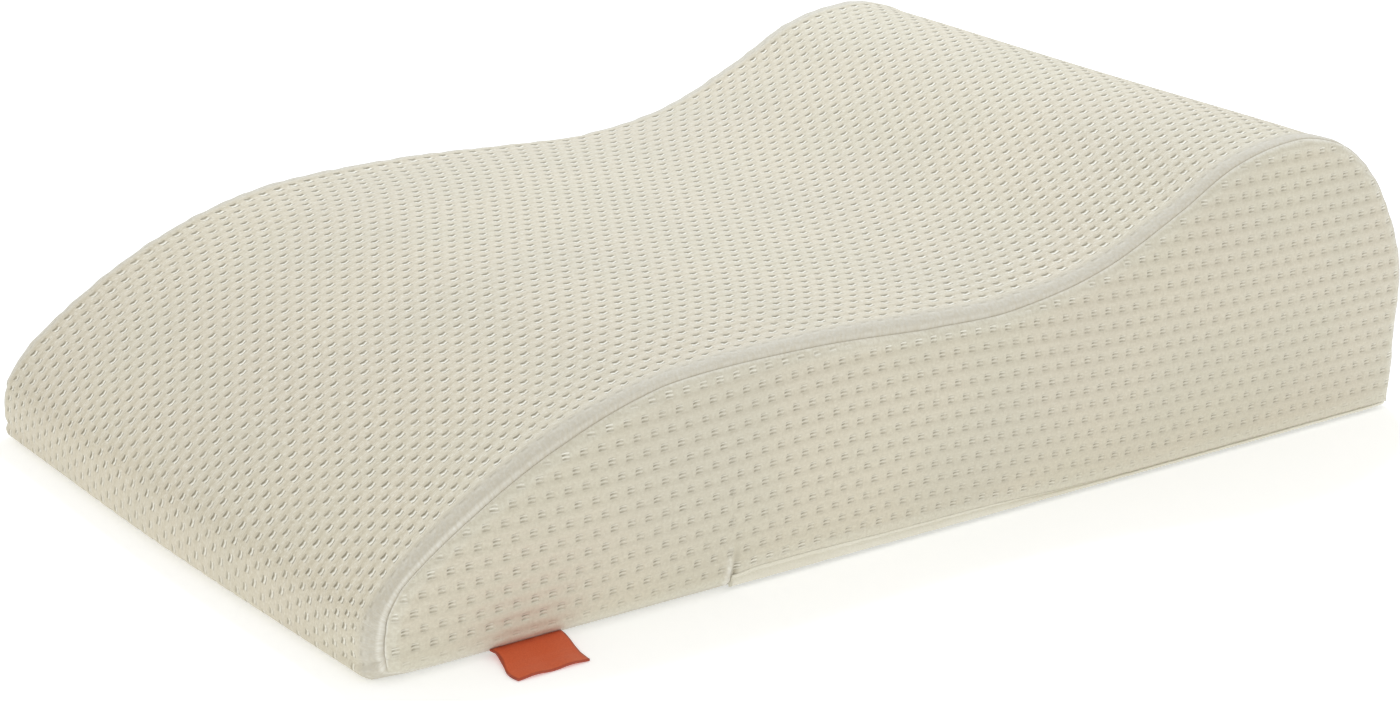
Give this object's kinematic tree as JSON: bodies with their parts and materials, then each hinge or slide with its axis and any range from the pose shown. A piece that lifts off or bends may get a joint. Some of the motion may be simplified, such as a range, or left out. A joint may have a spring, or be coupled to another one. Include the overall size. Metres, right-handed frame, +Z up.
{
  "type": "leg elevation pillow",
  "caption": "Wave-shaped leg elevation pillow in a dimpled knit cover, low at one end and high at the other, with side panels, a concealed side opening and a bare tab.",
  "frame": {"origin": "on the surface that the pillow lies on, under the middle of its length and width without the tab", "axes": "+X from the low end to the high end, +Y towards the side without the opening, +Z up"},
  "size_m": [0.6999, 0.4226, 0.1754],
  "materials": {
    "knit": "cream spacer knit with staggered dimples and a smooth band beside each seam, matt with a slight sheen",
    "side_knit": "the same cream dimpled spacer knit, a little yellower on the side panels",
    "turned_knit": "smooth folded knit without dimples, over the concealed opening",
    "satin": "orange woven satin, bare"
  },
  "bodies": {
    "root": {"cushion": "knit", "side_panel_near": "side_knit", "side_panel_far": "side_knit", "zip_placket": "turned_knit", "label_tab": "satin"}
  },
  "joints": []
}
